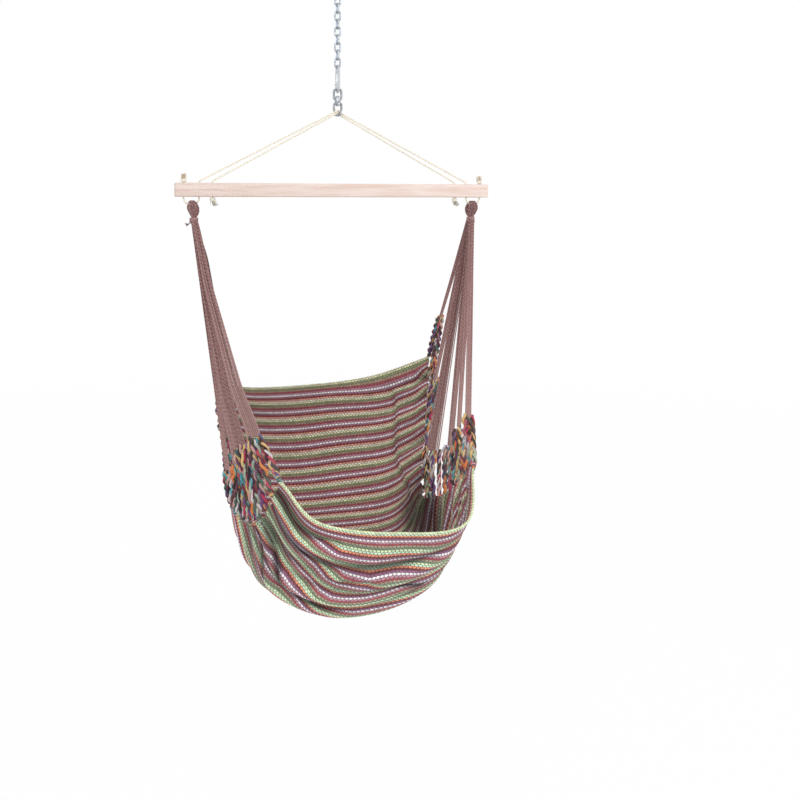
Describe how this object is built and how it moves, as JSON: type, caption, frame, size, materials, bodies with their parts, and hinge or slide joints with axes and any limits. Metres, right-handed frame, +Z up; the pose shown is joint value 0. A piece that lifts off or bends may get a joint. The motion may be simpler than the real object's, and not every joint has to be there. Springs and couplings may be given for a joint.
{
  "type": "hammock chair",
  "caption": "Hanging hammock chair: a wooden spreader bar on a chain with snap hook and swivel carries a deep striped woven seat by its fanned cords.",
  "frame": {"origin": "middle of the ceiling plate's top face, which lies on the ceiling", "axes": "+Z up out of the ceiling plate's top face, X along the spreader bar, -Y towards the front, where the sitter's legs hang"},
  "size_m": [1, 0.9781, 1.8612],
  "materials": {
    "galvanised": "zinc plated, dull",
    "dark_steel": "forged, satin",
    "pale_wood": "sanded, bare",
    "cream_rope": "twisted cotton rope",
    "mauve_cord": "twisted yarn",
    "multicolour_braid": "braided yarn of several colours",
    "striped_cloth": "hand-woven stripes"
  },
  "bodies": {
    "ceiling_mount": {"ceiling_plate": "galvanised", "ceiling_eye": "galvanised"},
    "link_1": {"chain_link_1": "galvanised"},
    "link_2": {"chain_link_2": "galvanised"},
    "link_3": {"chain_link_3": "galvanised"},
    "link_4": {"chain_link_4": "galvanised"},
    "link_5": {"chain_link_5": "galvanised"},
    "link_6": {"chain_link_6": "galvanised"},
    "link_7": {"chain_link_7": "galvanised"},
    "link_8": {"chain_link_8": "galvanised"},
    "link_9": {"chain_link_9": "galvanised"},
    "snap_hook": {"snap_hook_body": "galvanised", "snap_hook_rivet": "galvanised"},
    "hook_gate": {"snap_hook_gate": "galvanised", "snap_hook_gate_spring": "galvanised"},
    "swivel_top": {"swivel_upper_eye": "dark_steel", "swivel_pin": "dark_steel", "swivel_washer": "galvanised"},
    "swivel_bottom": {"swivel_lower_eye": "dark_steel"},
    "bar": {"spreader_bar": "pale_wood", "outer_rope": "cream_rope", "inner_rope": "cream_rope"},
    "sling": {"cloth": "striped_cloth", "left_eye": "mauve_cord", "right_eye": "mauve_cord", "left_binding": "mauve_cord", "right_binding": "mauve_cord", "left_cords_1": "mauve_cord", "left_cords_2": "mauve_cord", "left_cords_3": "mauve_cord", "left_cords_4": "mauve_cord", "left_cords_5": "mauve_cord", "left_cords_6": "mauve_cord", "left_cords_7": "mauve_cord", "right_cords_1": "mauve_cord", "right_cords_2": "mauve_cord", "right_cords_3": "mauve_cord", "right_cords_4": "mauve_cord", "right_cords_5": "mauve_cord", "right_cords_6": "mauve_cord", "right_cords_7": "mauve_cord", "left_braid_1": "multicolour_braid", "left_braid_2": "multicolour_braid", "left_braid_3": "multicolour_braid", "left_braid_4": "multicolour_braid", "left_braid_5": "multicolour_braid", "left_braid_6": "multicolour_braid", "left_braid_7": "multicolour_braid", "right_braid_1": "multicolour_braid", "right_braid_2": "multicolour_braid", "right_braid_3": "multicolour_braid", "right_braid_4": "multicolour_braid", "right_braid_5": "multicolour_braid", "right_braid_6": "multicolour_braid", "right_braid_7": "multicolour_braid"}
  },
  "joints": [
    {"name": "ceiling_eye_swing", "type": "hinge", "parent": "ceiling_mount", "child": "link_1", "pos_m": [0, 0, -0.0273], "axis": [0, 1, 0], "range_deg": [-25, 25]},
    {"name": "link_2_swing", "type": "hinge", "parent": "link_1", "child": "link_2", "pos_m": [0, 0, -0.0503], "axis": [1, 0, 0], "range_deg": [-25, 25]},
    {"name": "link_3_swing", "type": "hinge", "parent": "link_2", "child": "link_3", "pos_m": [0, 0, -0.0743], "axis": [0, 1, 0], "range_deg": [-25, 25]},
    {"name": "link_4_swing", "type": "hinge", "parent": "link_3", "child": "link_4", "pos_m": [0, 0, -0.0983], "axis": [1, 0, 0], "range_deg": [-25, 25]},
    {"name": "link_5_swing", "type": "hinge", "parent": "link_4", "child": "link_5", "pos_m": [0, 0, -0.1223], "axis": [0, 1, 0], "range_deg": [-25, 25]},
    {"name": "link_6_swing", "type": "hinge", "parent": "link_5", "child": "link_6", "pos_m": [0, 0, -0.1463], "axis": [1, 0, 0], "range_deg": [-25, 25]},
    {"name": "link_7_swing", "type": "hinge", "parent": "link_6", "child": "link_7", "pos_m": [0, 0, -0.1703], "axis": [0, 1, 0], "range_deg": [-25, 25]},
    {"name": "link_8_swing", "type": "hinge", "parent": "link_7", "child": "link_8", "pos_m": [0, 0, -0.1943], "axis": [1, 0, 0], "range_deg": [-25, 25]},
    {"name": "link_9_swing", "type": "hinge", "parent": "link_8", "child": "link_9", "pos_m": [0, 0, -0.2183], "axis": [0, 1, 0], "range_deg": [-25, 25]},
    {"name": "snap_hook_swing", "type": "hinge", "parent": "link_9", "child": "snap_hook", "pos_m": [0, 0, -0.2423], "axis": [1, 0, 0], "range_deg": [-20, 20]},
    {"name": "gate_hinge", "type": "hinge", "parent": "snap_hook", "child": "hook_gate", "pos_m": [0, 0.014, -0.294], "axis": [1, 0, 0], "range_deg": [0, 20], "stiffness_Nm_per_rad": 0.02, "springref_deg": -20.05},
    {"name": "swivel_swing", "type": "hinge", "parent": "snap_hook", "child": "swivel_top", "pos_m": [0, 0, -0.3142], "axis": [0, 1, 0], "range_deg": [-20, 20]},
    {"name": "swivel_turn", "type": "hinge", "parent": "swivel_top", "child": "swivel_bottom", "pos_m": [0, 0, -0.351], "axis": [0, 0, 1], "continuous": true},
    {"name": "bar_tilt", "type": "hinge", "parent": "swivel_bottom", "child": "bar", "pos_m": [0, 0, -0.3895], "axis": [1, 0, 0], "range_deg": [-6, 6]},
    {"name": "sling_swing", "type": "hinge", "parent": "bar", "child": "sling", "pos_m": [0, 0, -0.6633], "axis": [1, 0, 0], "range_deg": [-30, 30]}
  ]
}
